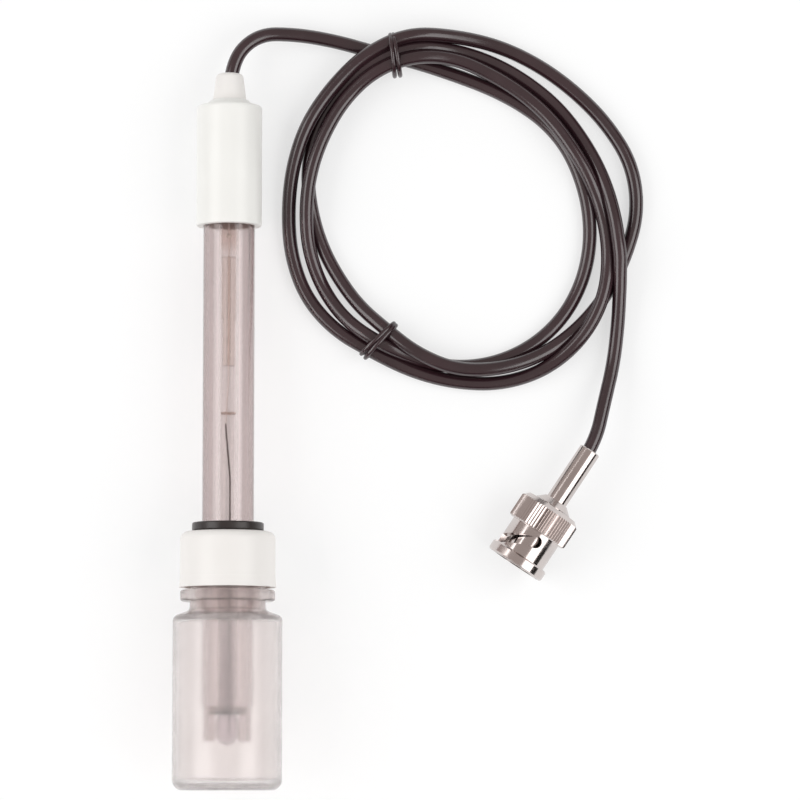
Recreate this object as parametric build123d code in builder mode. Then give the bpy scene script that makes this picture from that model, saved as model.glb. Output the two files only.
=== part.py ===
from build123d import *
import math
import os

# Plastic shaft and the two-pronged guard at its tip
shaft_radius = 6.0
shaft_wall = 1.2
guard_step = 0.4
guard_wall = 1.3
guard_depth = 6.1
guard_slot_width = 5.6
guard_end_round = 0.5
tip_floor = 1.9
tip_above_base = 10.3
bulb_proud = 0.8
head_from_tip = 120.4
shaft_in_head = 19.3

# Glass stem with its bulb, and what stands inside it
stem_radius = 2.3
stem_wall = 0.5
bulb_swell = 0.35
bulb_wall = 0.4
bulb_height = 5.2
bulb_neck_height = 1.2
wire_radius = 0.2
wire_bore = 0.35
wire_end_above_bulb = 2.6
wire_offset = 0.45
wire_kink_offset = -0.7
wire_kink_low = 61.6
wire_kink_height = 12.5
wire_below_sleeve = 2.8
wire_bend_radius = 30.0
sleeve_radius = 1.7
sleeve_thin_radius = 1.4
sleeve_low = 87.7
sleeve_thin_height = 11.0
sleeve_height = 14.4
stopper_from_tip = 76.4
stopper_height = 0.4
stopper_bore = 1.1
bead_radius = 0.6
bead_from_tip = 118.0

# Seals, junction and reference wire
glue_gap = 0.05
seal_width = 0.9
seal_height = 1.0
junction_radius = 0.4
top_plug_height = 7.0
reference_offset = 3.5
reference_length = 20.0

# Head, potting and cable boot
head_wall = 1.6
head_height = 28.3
head_top_wall = 2.3
head_top_round = 0.9
head_low_round = 0.3
head_ledge = 0.8
collar_top_width = 0.5
collar_flare = 1.3
collar_height = 1.25
boot_top_wall = 1.45
boot_flare = 0.8
boot_height = 7.6
boot_round = 1.1
boot_flange_height = 1.5
boot_cable_depth = 6.0
boot_run = 2.5
core_radius = 0.8

# Storage bottle
bottle_radius = 12.65
bottle_wall = 1.05
bottle_base_wall = 1.7
bottle_base_round = 2.4
bottle_body_height = 39.9
bottle_shoulder_height = 1.4
bottle_shoulder_round = 1.5
bottle_throat_round = 1.2
neck_clearance = 1.55
neck_wall = 1.2
neck_stand = 2.1
neck_bead_proud = 2.2
neck_bead_height = 2.6
neck_bead_round = 0.6

# Screw cap, its gasket and the thread between cap and bottle
cap_wall = 1.05
cap_rim_flare = 0.2
cap_rim_height = 2.6
cap_gap = 0.6
cap_on_neck = 9.0
cap_top_wall = 1.9
cap_top_round = 1.8
cap_hole_clearance = 0.3
gasket_height = 1.8
gasket_clearance = 0.15
seat_gap = 0.1
thread_pitch = 3.0
thread_depth = 0.9
thread_gap = 0.3
thread_root_width = 1.25
thread_crest_width = 0.7
thread_turns = 1.6
thread_from_rim = 0.9
thread_sink = 0.3

# Depth ring on the shaft
ring_thickness = 2.15
ring_height = 2.0
ring_clearance = 0.15
ring_round = 0.4

# Cable
cable_radius = 1.65
cable_clearance = 0.05
run_share = 0.45
corner_reach = 1e-6

# Bayonet plug, measured along its own axis from the ferrule's mouth
ferrule_length = 14.2
ferrule_wall = 0.85
ferrule_edge = 0.25
ferrule_entry = 2.1
cable_in_ferrule = 4.5
stem_bore = 0.9
retainer_length = 1.5
retainer_rear_radius = 2.9
retainer_front_radius = 4.6
retainer_seat = 2.4
barrel_radius = 2.9
barrel_length = 5.3
flange_length = 1.0
flange_gap = 0.15
spigot_length = 2.0
contact_radius = 4.05
contact_wall = 0.45
contact_length = 7.5
contact_slot_width = 0.4
contact_slot_length = 4.4
contact_slot_count = 4
contact_slot_turn = 45.0
gasket_ring_length = 0.9
insulator_radius = 2.2
insulator_length = 8.1
insulator_proud = 0.6
pin_radius = 0.66
pin_past_insulator = 4.0
pin_tip_round = 0.4
lip_length = 1.7
lip_clearance = 0.3
retainer_gap = 0.25
coupling_bore = 4.9
coupling_wall = 1.3
knurl_step = 1.3
knurl_depth = 0.3
knurl_count = 64
knurl_length = 6.8
knurl_rear_chamfer = 1.2
knurl_front_chamfer = 0.4
rim_step = 1.0
rim_length = 2.5
rim_chamfer = 0.35
coupling_front_past_contact = 1.5
thrust_length = 0.4
thrust_gap = 0.05
thrust_clearance = 0.1
wave_length = 0.5
slot_width = 2.4
slot_hole_radius = 1.45
slot_hole_angle = 79.0
slot_sweep = 86.0
slot_hole_from_front = 6.9
slot_rise = 3.6
plug_heading = 236.3
plug_mouth_x = 84.0
plug_mouth_y = -4.6

# Coil of the cable and its two ties: radii every 30 degrees clockwise from +Y, ties by place and heading
coil_centre_x = 52.7
coil_centre_y = 51.75
coil_height = 6.0
coil_round = 1.4
coil_outer_radii = [42.3, 40.3, 42.1, 44.3, 42.6, 44.4, 41.8, 39.6, 41.9, 40.4, 41.6, 43.9]
coil_inner_radii = [29.4, 27.0, 27.9, 29.4, 32.5, 34.8, 34.9, 30.4, 29.7, 31.8, 34.0, 35.7]
tie_thickness = 0.9
tie_width = 2.2
tie_gap = 0.1
tie_opening = 10.2
tie_corner = 0.8
tie_places = [("tie_upper", 38.5, 88.1, -82.0), ("tie_lower", 34.9, 21.3, 225.0)]

os.makedirs("parts", exist_ok=True)

# Radii that follow from those above
shaft_bore = shaft_radius - shaft_wall
guard_radius = shaft_radius - guard_step
stem_bore_radius = stem_radius - stem_wall
hole_in_glue = stem_radius + glue_gap
bulb_radius = stem_radius + bulb_swell
head_radius = shaft_radius + head_wall
head_cavity_radius = shaft_radius - head_ledge
boot_top_radius = cable_radius + boot_top_wall
boot_low_radius = boot_top_radius + boot_flare
collar_top_radius = boot_low_radius + collar_top_width
collar_low_radius = collar_top_radius + collar_flare
neck_radius = shaft_radius + neck_clearance + neck_wall
neck_bead_radius = neck_radius + neck_bead_proud
cap_bore = neck_radius + thread_depth + thread_gap
cap_radius = cap_bore + cap_wall
cap_rim_radius = cap_radius + cap_rim_flare
ring_bore = shaft_radius + ring_clearance
ferrule_bore = cable_radius + cable_clearance
ferrule_radius = ferrule_bore + ferrule_wall
flange_radius = coupling_bore - flange_gap
sleeve_outer_radius = coupling_bore + coupling_wall
knurl_radius = sleeve_outer_radius + knurl_step
rim_outer_radius = sleeve_outer_radius + rim_step
spigot_radius = contact_radius - contact_wall - glue_gap

# Stations along the electrode, from the bottle's base towards the head
neck_low = bottle_body_height + bottle_shoulder_height
neck_bead_low = neck_low + neck_stand
cap_low = neck_bead_low + neck_bead_height + cap_gap
bottle_rim = cap_low + cap_on_neck
gasket_low = bottle_rim + seat_gap
cap_inner = gasket_low + gasket_height + seat_gap
cap_top = cap_inner + cap_top_wall
ring_low = cap_top + seat_gap
tip = tip_above_base
guard_end = tip + bulb_proud
pocket_floor = guard_end + guard_depth
chamber_floor = pocket_floor + tip_floor
head_low = tip + head_from_tip
head_top = head_low + head_height
shaft_top = head_low + shaft_in_head
flange_top = head_top - head_top_wall
flange_low = flange_top - boot_flange_height
boot_low = head_top + collar_height
boot_top = boot_low + boot_height - collar_height
jacket_end = boot_top - boot_cable_depth

# Lie of the electrode: the line that touches the bottle's shoulder and the head's far rim is the table
shoulder_turn = math.atan2(bottle_radius - neck_radius, bottle_shoulder_height)
shoulder_arc = bottle_body_height - bottle_shoulder_round * math.tan(shoulder_turn / 2)
rest_run = head_top - head_top_round - shoulder_arc
rest_drop = (bottle_radius - bottle_shoulder_round) - (head_radius - head_top_round)
rest_rounds = bottle_shoulder_round - head_top_round
tilt = math.asin(rest_rounds / math.hypot(rest_run, rest_drop)) + math.atan2(rest_drop, rest_run)
base_z = (
    shoulder_arc * math.sin(tilt)
    + (bottle_radius - bottle_shoulder_round) * math.cos(tilt)
    + bottle_shoulder_round
)

# The frame's origin is under the middle of the electrode's length
low_reach = bottle_base_round * (1 - math.cos(tilt)) + (bottle_radius - bottle_base_round) * math.sin(tilt)
high_reach = (boot_top - boot_round) * math.cos(tilt)
high_reach += (boot_top_radius - boot_round) * math.sin(tilt) + boot_round
base_y = -(high_reach - low_reach) / 2
base_point = Vector(0, base_y, base_z)
up_shaft = Vector(0, math.cos(tilt), -math.sin(tilt))
shaft_axis = Axis(base_point, up_shaft)
section = Plane(origin=base_point, x_dir=(1, 0, 0), z_dir=(0, math.sin(tilt), math.cos(tilt)))
across = Plane(origin=base_point, x_dir=(1, 0, 0), z_dir=up_shaft)


def on_shaft(station, offset=0.0):
    """Point on the electrode's axis at a station, set off sideways along X"""
    return base_point + up_shaft * station + Vector(offset, 0, 0)


def route_radii(points):
    """Largest tangent arcs that the runs of a route allow, one for each corner"""
    radii = []
    for before, corner, after in zip(points, points[1:], points[2:]):
        run_in = Vector(*corner) - Vector(*before)
        run_out = Vector(*after) - Vector(*corner)
        half_turn = math.radians(run_in.get_angle(run_out)) / 2
        radii.append(run_share * min(run_in.length, run_out.length) / math.tan(half_turn))
    return radii


def corner_at(profile, x, y):
    """The corner of a profile at x and y, for a fillet"""
    return [v for v in profile.vertices() if math.hypot(v.X - x, v.Y - y) < corner_reach]


# Body tube: shaft and guard are one moulding, closed near the tip by a floor
with BuildPart() as body_tube:
    with BuildSketch(section) as tube_profile:
        with BuildLine():
            Polyline(
                (guard_radius - guard_wall, guard_end),
                (guard_radius, guard_end),
                (guard_radius, chamber_floor),
                (shaft_radius, chamber_floor + shaft_radius - guard_radius),
                (shaft_radius, shaft_top),
                (shaft_bore, shaft_top),
                (shaft_bore, chamber_floor),
                (hole_in_glue, chamber_floor),
                (hole_in_glue, pocket_floor + seal_height),
                (hole_in_glue + seal_width, pocket_floor + seal_height),
                (hole_in_glue + seal_width, pocket_floor),
                (guard_radius - guard_wall, pocket_floor),
                close=True,
            )
        make_face()
        fillet(corner_at(tube_profile, guard_radius, guard_end), guard_end_round)
        fillet(corner_at(tube_profile, guard_radius - guard_wall, guard_end), guard_end_round)
    revolve(axis=shaft_axis)
    with BuildSketch(across.offset(guard_end - guard_end_round)):
        Rectangle(guard_slot_width, 2 * shaft_radius)
    extrude(amount=guard_depth + guard_end_round, mode=Mode.SUBTRACT)
    junction_place = (hole_in_glue + seal_width + guard_radius - guard_wall) / 2
    with BuildSketch(across.offset(pocket_floor - glue_gap)):
        with Locations((0, junction_place)):
            Circle(junction_radius + glue_gap)
    extrude(amount=tip_floor + 2 * glue_gap, mode=Mode.SUBTRACT)
body_tube.part.label = "body_tube"
export_step(body_tube.part, "parts/body_tube.step")

# Ceramic junction through the tip floor
with BuildPart() as junction_frit:
    with BuildSketch(across.offset(pocket_floor)):
        with Locations((0, junction_place)):
            Circle(junction_radius)
    extrude(amount=tip_floor)
junction_frit.part.label = "junction_frit"
export_step(junction_frit.part, "parts/junction_frit.step")

# Rubber seal around the glass in the tip floor
with BuildPart() as tip_seal:
    with BuildSketch(across.offset(pocket_floor)):
        Circle(hole_in_glue + seal_width - glue_gap)
        Circle(hole_in_glue, mode=Mode.SUBTRACT)
    extrude(amount=seal_height - glue_gap)
tip_seal.part.label = "tip_seal"
export_step(tip_seal.part, "parts/tip_seal.step")

# Glass stem blown in one with its bulb
bulb_shoulder = tip + bulb_height
with BuildPart() as glass_stem:
    with BuildSketch(section):
        with BuildLine():
            outer_foot = CenterArc((0, tip + bulb_radius), bulb_radius, 270, 90)
            outer_wall = Line(outer_foot @ 1, (bulb_radius, bulb_shoulder))
            outer_neck = Line(outer_wall @ 1, (stem_radius, bulb_shoulder + bulb_neck_height))
            outer_stem = Line(outer_neck @ 1, (stem_radius, shaft_top))
            stem_mouth = Line(outer_stem @ 1, (stem_bore_radius, shaft_top))
            inner_stem = Line(stem_mouth @ 1, (stem_bore_radius, bulb_shoulder + bulb_neck_height))
            inner_neck = Line(inner_stem @ 1, (bulb_radius - bulb_wall, bulb_shoulder))
            inner_wall = Line(inner_neck @ 1, (bulb_radius - bulb_wall, tip + bulb_radius))
            CenterArc((0, tip + bulb_radius), bulb_radius - bulb_wall, 0, -90)
            Line((0, tip + bulb_wall), (0, tip))
        make_face()
    revolve(axis=shaft_axis)
glass_stem.part.label = "glass_stem"
export_step(glass_stem.part, "parts/glass_stem.step")

# Silver wire of the inner cell, with the slight kink that shows below the sleeve
wire_top = flange_low
wire_points = [
    on_shaft(tip + wire_end_above_bulb, wire_offset),
    on_shaft(tip + wire_kink_low, wire_offset),
    on_shaft(tip + wire_kink_low + wire_kink_height, wire_kink_offset),
    on_shaft(tip + sleeve_low - wire_below_sleeve, 0),
    on_shaft(wire_top, 0),
]
with BuildPart() as inner_wire:
    with BuildLine() as wire_path:
        FilletPolyline(*wire_points, radius=wire_bend_radius)
    with BuildSketch(Plane(origin=wire_path.line @ 0, z_dir=wire_path.line % 0)):
        Circle(wire_radius)
    sweep(path=wire_path.line)
inner_wire.part.label = "inner_wire"
export_step(inner_wire.part, "parts/inner_wire.step")

# Dark sleeve on the wire, thinner at its lower end
with BuildPart() as element_sleeve:
    with BuildSketch(across.offset(tip + sleeve_low)):
        Circle(sleeve_thin_radius)
        Circle(wire_bore, mode=Mode.SUBTRACT)
    extrude(amount=sleeve_thin_height)
    with BuildSketch(across.offset(tip + sleeve_low + sleeve_thin_height)):
        Circle(sleeve_radius)
        Circle(wire_bore, mode=Mode.SUBTRACT)
    extrude(amount=sleeve_height)
element_sleeve.part.label = "element_sleeve"
export_step(element_sleeve.part, "parts/element_sleeve.step")

# Thin stopper in the stem, above the kink
with BuildPart() as stem_stopper:
    with BuildSketch(across.offset(tip + stopper_from_tip)):
        Circle(stem_bore_radius - glue_gap)
        Circle(stopper_bore, mode=Mode.SUBTRACT)
    extrude(amount=stopper_height)
stem_stopper.part.label = "stem_stopper"
export_step(stem_stopper.part, "parts/stem_stopper.step")

# Glass bead that centres the wire above the sleeve
with BuildPart() as wire_bead:
    with BuildSketch(section):
        with BuildLine():
            bead_half = math.sqrt(bead_radius**2 - (wire_radius + glue_gap) ** 2)
            bead_arc = ThreePointArc(
                (wire_radius + glue_gap, tip + bead_from_tip - bead_half),
                (bead_radius, tip + bead_from_tip),
                (wire_radius + glue_gap, tip + bead_from_tip + bead_half),
            )
            Line(bead_arc @ 1, bead_arc @ 0)
        make_face()
    revolve(axis=shaft_axis)
wire_bead.part.label = "wire_bead"
export_step(wire_bead.part, "parts/wire_bead.step")

# Plug that closes the shaft's top around the stem
with BuildPart() as top_plug:
    with BuildSketch(across.offset(shaft_top - top_plug_height)):
        Circle(shaft_bore - glue_gap)
        Circle(hole_in_glue, mode=Mode.SUBTRACT)
        with Locations((0, reference_offset)):
            Circle(wire_radius + glue_gap, mode=Mode.SUBTRACT)
    extrude(amount=top_plug_height)
top_plug.part.label = "top_plug"
export_step(top_plug.part, "parts/top_plug.step")

# Silver wire of the outer cell
with BuildPart() as reference_wire:
    with BuildSketch(across.offset(flange_low - reference_length)):
        with Locations((0, reference_offset)):
            Circle(wire_radius)
    extrude(amount=reference_length)
reference_wire.part.label = "reference_wire"
export_step(reference_wire.part, "parts/reference_wire.step")

# Potting between the shaft's top and the boot's flange
with BuildPart() as potting_plug:
    with BuildSketch(across.offset(shaft_top)):
        Circle(head_cavity_radius - glue_gap)
        Circle(wire_radius + glue_gap, mode=Mode.SUBTRACT)
        with Locations((0, reference_offset)):
            Circle(wire_radius + glue_gap, mode=Mode.SUBTRACT)
    extrude(amount=flange_low - shaft_top)
potting_plug.part.label = "potting_plug"
export_step(potting_plug.part, "parts/potting_plug.step")

# Head: a bored cap with a raised collar around the boot
with BuildPart() as head_cap:
    with BuildSketch(section) as head_profile:
        with BuildLine():
            Polyline(
                (shaft_radius + glue_gap, head_low),
                (head_radius, head_low),
                (head_radius, head_top),
                (collar_low_radius, head_top),
                (collar_top_radius, boot_low),
                (boot_low_radius + glue_gap, boot_low),
                (boot_low_radius + glue_gap, flange_top),
                (head_cavity_radius, flange_top),
                (head_cavity_radius, shaft_top),
                (shaft_radius + glue_gap, shaft_top),
                close=True,
            )
        make_face()
        fillet(corner_at(head_profile, head_radius, head_low), head_low_round)
        fillet(corner_at(head_profile, head_radius, head_top), head_top_round)
    revolve(axis=shaft_axis)
head_cap.part.label = "head_cap"
export_step(head_cap.part, "parts/head_cap.step")

# Tapered cable boot, held in the head by its flange
with BuildPart() as cable_boot:
    with BuildSketch(section) as boot_profile:
        with BuildLine():
            Polyline(
                (core_radius + glue_gap, flange_low),
                (head_cavity_radius - 2 * glue_gap, flange_low),
                (head_cavity_radius - 2 * glue_gap, flange_top),
                (boot_low_radius, flange_top),
                (boot_low_radius, boot_low),
                (boot_top_radius, boot_top),
                (cable_radius + cable_clearance, boot_top),
                (cable_radius + cable_clearance, jacket_end),
                (core_radius + glue_gap, jacket_end),
                close=True,
            )
        make_face()
        fillet(corner_at(boot_profile, boot_top_radius, boot_top), boot_round)
    revolve(axis=shaft_axis)
cable_boot.part.label = "cable_boot"
export_step(cable_boot.part, "parts/cable_boot.step")

# Insulated core of the cable, between its jacket's end and the potting
with BuildPart() as coax_core:
    with BuildSketch(across.offset(flange_low)):
        Circle(core_radius)
    extrude(amount=jacket_end - flange_low)
coax_core.part.label = "coax_core"
export_step(coax_core.part, "parts/coax_core.step")

# Thread ridge outside the bottle's neck, right-handed
thread_top = bottle_rim - thread_from_rim - thread_root_width / 2
thread_height = thread_pitch * thread_turns
thread_start = on_shaft(thread_top - thread_height)
with BuildPart() as neck_thread:
    with BuildLine() as neck_helix:
        Helix(thread_pitch, thread_height, neck_radius, center=thread_start, direction=up_shaft)
    ridge_out = (neck_helix.line @ 0) - thread_start
    with BuildSketch(Plane(origin=neck_helix.line @ 0, x_dir=ridge_out, z_dir=neck_helix.line % 0)):
        with BuildLine():
            Polyline(
                (-thread_sink, -thread_root_width / 2),
                (0, -thread_root_width / 2),
                (thread_depth, -thread_crest_width / 2),
                (thread_depth, thread_crest_width / 2),
                (0, thread_root_width / 2),
                (-thread_sink, thread_root_width / 2),
                close=True,
            )
        make_face()
    sweep(path=neck_helix.line, is_frenet=True)

# Storage bottle: body, shoulder, bead and threaded neck
with BuildPart() as storage_bottle:
    with BuildSketch(section) as bottle_profile:
        with BuildLine():
            Polyline(
                (0, 0),
                (bottle_radius, 0),
                (bottle_radius, bottle_body_height),
                (neck_radius, neck_low),
                (neck_radius, bottle_rim),
                (neck_radius - neck_wall, bottle_rim),
                (neck_radius - neck_wall, neck_low - bottle_wall),
                (bottle_radius - bottle_wall, bottle_body_height - bottle_wall),
                (bottle_radius - bottle_wall, bottle_base_wall),
                (0, bottle_base_wall),
                close=True,
            )
        make_face()
        for corner_x, corner_y, corner_round in [
            (bottle_radius, 0, bottle_base_round),
            (bottle_radius, bottle_body_height, bottle_shoulder_round),
            (neck_radius, neck_low, bottle_throat_round),
            (neck_radius - neck_wall, neck_low - bottle_wall, bottle_throat_round + bottle_wall),
            (bottle_radius - bottle_wall, bottle_body_height - bottle_wall, bottle_shoulder_round / 2),
            (bottle_radius - bottle_wall, bottle_base_wall, bottle_base_round - bottle_wall),
        ]:
            fillet(corner_at(bottle_profile, corner_x, corner_y), corner_round)
    revolve(axis=shaft_axis)
    with BuildSketch(section) as bead_profile:
        with Locations((neck_radius - neck_wall / 2, neck_bead_low)):
            Rectangle(
                neck_bead_proud + neck_wall / 2, neck_bead_height, align=(Align.MIN, Align.MIN)
            )
        for bead_edge in (neck_bead_low, neck_bead_low + neck_bead_height):
            fillet(corner_at(bead_profile, neck_bead_radius, bead_edge), neck_bead_round)
    revolve(axis=shaft_axis)
    add(neck_thread.part)
storage_bottle.part.label = "storage_bottle"
export_step(storage_bottle.part, "parts/storage_bottle.step")

# Thread ridge inside the cap, half a pitch off the neck's
cap_thread_start = on_shaft(thread_top - thread_height - thread_pitch / 2)
with BuildPart() as cap_thread:
    with BuildLine() as cap_helix:
        Helix(thread_pitch, thread_height, cap_bore, center=cap_thread_start, direction=up_shaft)
    ridge_out = (cap_helix.line @ 0) - cap_thread_start
    with BuildSketch(Plane(origin=cap_helix.line @ 0, x_dir=ridge_out, z_dir=cap_helix.line % 0)):
        with BuildLine():
            Polyline(
                (thread_sink, -thread_root_width / 2),
                (0, -thread_root_width / 2),
                (-thread_depth, -thread_crest_width / 2),
                (-thread_depth, thread_crest_width / 2),
                (0, thread_root_width / 2),
                (thread_sink, thread_root_width / 2),
                close=True,
            )
        make_face()
    sweep(path=cap_helix.line, is_frenet=True)

# Screw cap with the hole that the shaft passes through
with BuildPart() as screw_cap:
    with BuildSketch(section) as cap_profile:
        with BuildLine():
            Polyline(
                (cap_bore, cap_low),
                (cap_rim_radius, cap_low),
                (cap_radius, cap_low + cap_rim_height),
                (cap_radius, cap_top),
                (shaft_radius + cap_hole_clearance, cap_top),
                (shaft_radius + cap_hole_clearance, cap_inner),
                (cap_bore, cap_inner),
                close=True,
            )
        make_face()
        fillet(corner_at(cap_profile, cap_radius, cap_top), cap_top_round)
    revolve(axis=shaft_axis)
    add(cap_thread.part)
screw_cap.part.label = "screw_cap"
export_step(screw_cap.part, "parts/screw_cap.step")

# Gasket between the bottle's rim and the cap
with BuildPart() as bottle_gasket:
    with BuildSketch(across.offset(gasket_low)):
        Circle(neck_radius)
        Circle(shaft_radius + gasket_clearance, mode=Mode.SUBTRACT)
    extrude(amount=gasket_height)
bottle_gasket.part.label = "bottle_gasket"
export_step(bottle_gasket.part, "parts/bottle_gasket.step")

# Rubber depth ring
with BuildPart() as stop_ring:
    with BuildSketch(section) as ring_profile:
        with Locations((ring_bore, ring_low)):
            Rectangle(ring_thickness, ring_height, align=(Align.MIN, Align.MIN))
        fillet(ring_profile.vertices(), ring_round)
    revolve(axis=shaft_axis)
stop_ring.part.label = "stop_ring"
export_step(stop_ring.part, "parts/stop_ring.step")

# Frame of the plug: it lies on its knurled ring, its open end away from the cable
plug_height = knurl_radius
heading = math.radians(plug_heading)
plug_point = Vector(plug_mouth_x, plug_mouth_y, plug_height)
along_plug = Vector(math.cos(heading), math.sin(heading), 0)
plug_side = Vector(-math.sin(heading), math.cos(heading), 0)
plug_axis = Axis(plug_point, along_plug)
plug_section = Plane(origin=plug_point, x_dir=plug_side * -1, z_dir=(0, 0, 1))
plug_across = Plane(origin=plug_point, x_dir=plug_side, z_dir=along_plug)

# Stations along the plug
retainer_front = ferrule_length + retainer_length
lip_rear = retainer_front + retainer_gap
lip_front = lip_rear + lip_length
thrust_rear = lip_front + thrust_gap
flange_rear = retainer_front + barrel_length
flange_front = flange_rear + flange_length
spigot_front = flange_front + spigot_length
contact_rear = flange_front + gasket_ring_length
contact_front = contact_rear + contact_length
coupling_front = contact_front + coupling_front_past_contact
insulator_front = spigot_front + insulator_proud
insulator_rear = insulator_front - insulator_length
knurl_front = lip_rear + knurl_length
rim_rear = coupling_front - rim_length

# Crimped ferrule around the cable's end
with BuildPart() as bnc_ferrule:
    with BuildSketch(plug_across):
        Circle(ferrule_radius)
        Circle(ferrule_bore, mode=Mode.SUBTRACT)
    extrude(amount=ferrule_length)
    chamfer(bnc_ferrule.edges().group_by(plug_axis)[0], ferrule_edge)
bnc_ferrule.part.label = "bnc_ferrule"
export_step(bnc_ferrule.part, "parts/bnc_ferrule.step")

# Plug body: crimp stem, barrel, flange and the spigot that carries the contact sleeve
with BuildPart() as bnc_body:
    with BuildSketch(plug_section):
        with BuildLine():
            Polyline(
                (-stem_bore, cable_in_ferrule),
                (-cable_radius, cable_in_ferrule),
                (-cable_radius, ferrule_length),
                (-retainer_seat, ferrule_length),
                (-retainer_seat, retainer_front),
                (-barrel_radius, retainer_front),
                (-barrel_radius, flange_rear),
                (-flange_radius, flange_rear),
                (-flange_radius, flange_front),
                (-spigot_radius, flange_front),
                (-spigot_radius, spigot_front),
                (-insulator_radius - glue_gap, spigot_front),
                (-insulator_radius - glue_gap, insulator_rear),
                (-stem_bore, insulator_rear),
                close=True,
            )
        make_face()
    revolve(axis=plug_axis)
bnc_body.part.label = "bnc_body"
export_step(bnc_body.part, "parts/bnc_body.step")

# Flared retaining ring behind the coupling
with BuildPart() as bnc_retaining_ring:
    with BuildSketch(plug_section):
        with BuildLine():
            Polyline(
                (-retainer_seat - glue_gap, ferrule_length),
                (-retainer_rear_radius, ferrule_length),
                (-retainer_front_radius, retainer_front),
                (-retainer_seat - glue_gap, retainer_front),
                close=True,
            )
        make_face()
    revolve(axis=plug_axis)
bnc_retaining_ring.part.label = "bnc_retaining_ring"
export_step(bnc_retaining_ring.part, "parts/bnc_retaining_ring.step")

# Insulator in the body's bore
with BuildPart() as bnc_insulator:
    with BuildSketch(plug_across.offset(insulator_rear)):
        Circle(insulator_radius)
        Circle(pin_radius + glue_gap, mode=Mode.SUBTRACT)
    extrude(amount=insulator_length)
bnc_insulator.part.label = "bnc_insulator"
export_step(bnc_insulator.part, "parts/bnc_insulator.step")

# Centre pin, from the cable's end to inside the contact sleeve
pin_length = insulator_front + pin_past_insulator - cable_in_ferrule
with BuildPart() as bnc_pin:
    with BuildSketch(plug_across.offset(cable_in_ferrule)):
        Circle(pin_radius)
    extrude(amount=pin_length)
    fillet(bnc_pin.edges().group_by(plug_axis)[-1], pin_tip_round)
bnc_pin.part.label = "bnc_pin"
export_step(bnc_pin.part, "parts/bnc_pin.step")

# Outer contact: a sleeve slotted into springy fingers
with BuildPart() as bnc_contact_sleeve:
    with BuildSketch(plug_across.offset(contact_rear)):
        Circle(contact_radius)
        Circle(contact_radius - contact_wall, mode=Mode.SUBTRACT)
    extrude(amount=contact_length)
    with BuildSketch(plug_across.offset(contact_front - contact_slot_length)):
        with PolarLocations(contact_radius, contact_slot_count, start_angle=contact_slot_turn):
            Rectangle(contact_radius, contact_slot_width)
    extrude(amount=contact_slot_length, mode=Mode.SUBTRACT)
bnc_contact_sleeve.part.label = "bnc_contact_sleeve"
export_step(bnc_contact_sleeve.part, "parts/bnc_contact_sleeve.step")

# Rubber gasket between the flange and the contact sleeve
with BuildPart() as bnc_gasket:
    with BuildSketch(plug_across.offset(flange_front)):
        Circle(flange_radius)
        Circle(spigot_radius + glue_gap, mode=Mode.SUBTRACT)
    extrude(amount=gasket_ring_length)
bnc_gasket.part.label = "bnc_gasket"
export_step(bnc_gasket.part, "parts/bnc_gasket.step")

# Spring washer behind the body's flange, nearly flat
with BuildPart() as bnc_wave_washer:
    with BuildSketch(plug_across.offset(flange_rear - wave_length)):
        Circle(flange_radius)
        Circle(barrel_radius + thrust_clearance, mode=Mode.SUBTRACT)
    extrude(amount=wave_length)
bnc_wave_washer.part.label = "bnc_wave_washer"
export_step(bnc_wave_washer.part, "parts/bnc_wave_washer.step")

# Thrust washer that the coupling's lip bears on
with BuildPart() as bnc_thrust_washer:
    with BuildSketch(plug_across.offset(thrust_rear)):
        Circle(flange_radius)
        Circle(barrel_radius + thrust_clearance, mode=Mode.SUBTRACT)
    extrude(amount=thrust_length)
bnc_thrust_washer.part.label = "bnc_thrust_washer"
export_step(bnc_thrust_washer.part, "parts/bnc_thrust_washer.step")

# Bayonet slot: a helical ramp, half a turn apart from its twin
slot_hole_station = coupling_front - slot_hole_from_front
slot_pitch = slot_rise * 360 / slot_sweep
slot_mid_radius = (coupling_bore + rim_outer_radius) / 2
slot_cut_depth = rim_outer_radius - coupling_bore + 2 * knurl_depth
with BuildPart() as bayonet_slot:
    with BuildLine() as ramp:
        ramp_helix = Helix(
            slot_pitch,
            slot_rise,
            slot_mid_radius,
            center=plug_point + along_plug * slot_hole_station,
            direction=along_plug,
        )
    ramp_out = (ramp.line @ 0) - (plug_point + along_plug * slot_hole_station)
    with BuildSketch(Plane(origin=ramp.line @ 0, x_dir=ramp_out, z_dir=ramp.line % 0)):
        Rectangle(slot_cut_depth, slot_width)
    sweep(path=ramp.line, is_frenet=True)
ramp_start_angle = math.degrees(math.atan2(ramp_out.Z, ramp_out.dot(plug_side)))

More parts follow.
